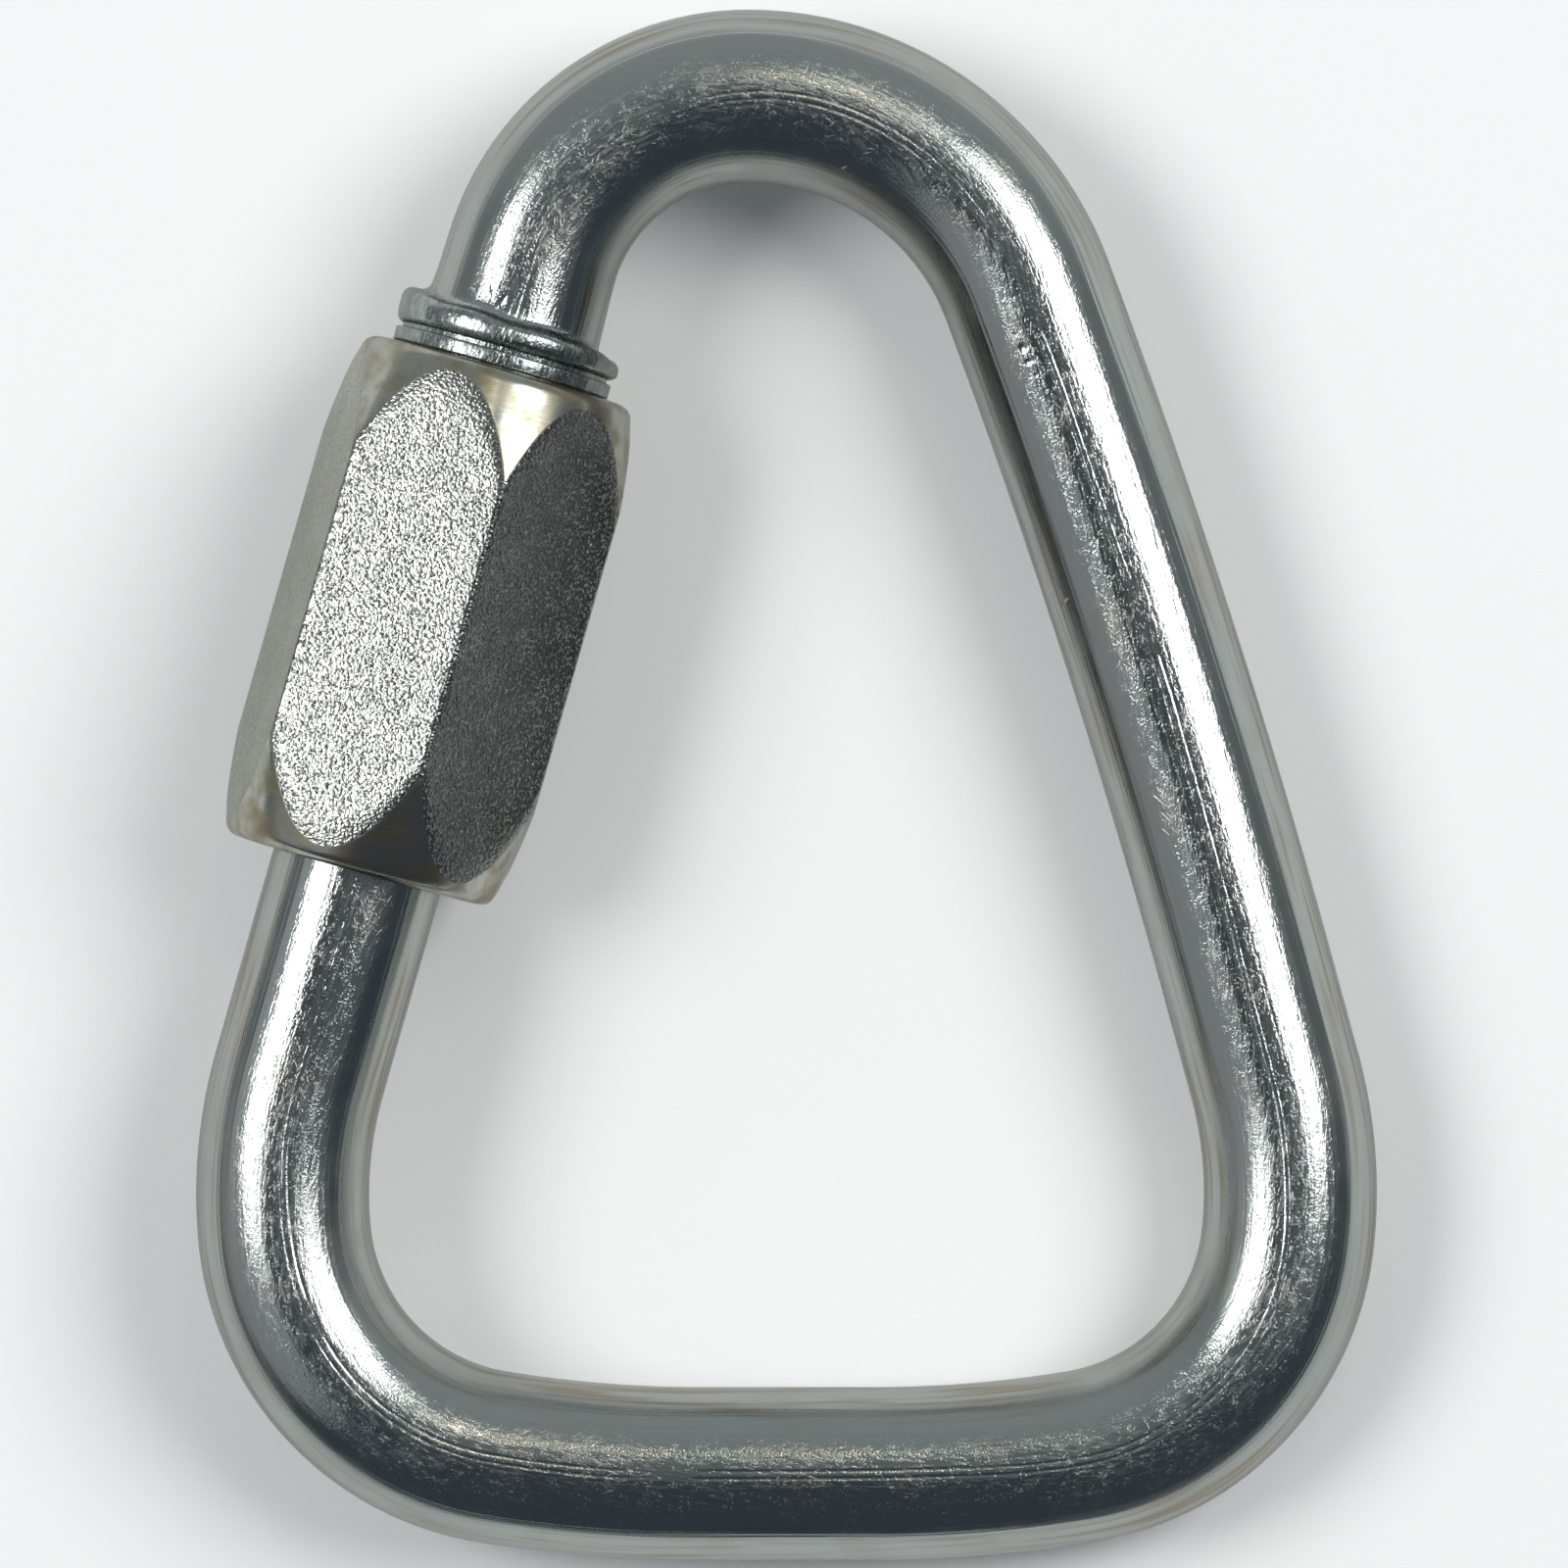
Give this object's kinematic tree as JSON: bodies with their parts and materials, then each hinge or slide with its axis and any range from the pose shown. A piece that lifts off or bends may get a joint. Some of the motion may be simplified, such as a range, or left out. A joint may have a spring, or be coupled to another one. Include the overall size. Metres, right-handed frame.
{
  "type": "delta quick link",
  "caption": "Triangular quick link: a round zinc-plated steel bar bent into a closed loop, with a long hexagonal sleeve nut that screws across the gap in one leg.",
  "frame": {"origin": "middle of the base bar, on the bar's axis", "axes": "+X along the base bar, nut leg at -X; +Y from the base bar to the crown; +Z out of the plane of the link, up when it lies flat"},
  "size_m": [0.0546, 0.0717, 0.0146],
  "materials": {
    "bar_zinc": "bright zinc plate on drawn steel bar, semi-mirror, with fine scratches and nicks",
    "nut_zinc": "zinc plate, grain-blasted flats and smooth turned ends"
  },
  "bodies": {
    "bar": {"bent_bar": "bar_zinc"},
    "nut": {"sleeve_nut": "nut_zinc"}
  },
  "joints": [
    {"name": "nut_travel", "type": "slide", "parent": "bar", "child": "nut", "axis": [-0.274, -0.9617, 0], "range_m": [0, 0.014]}
  ]
}
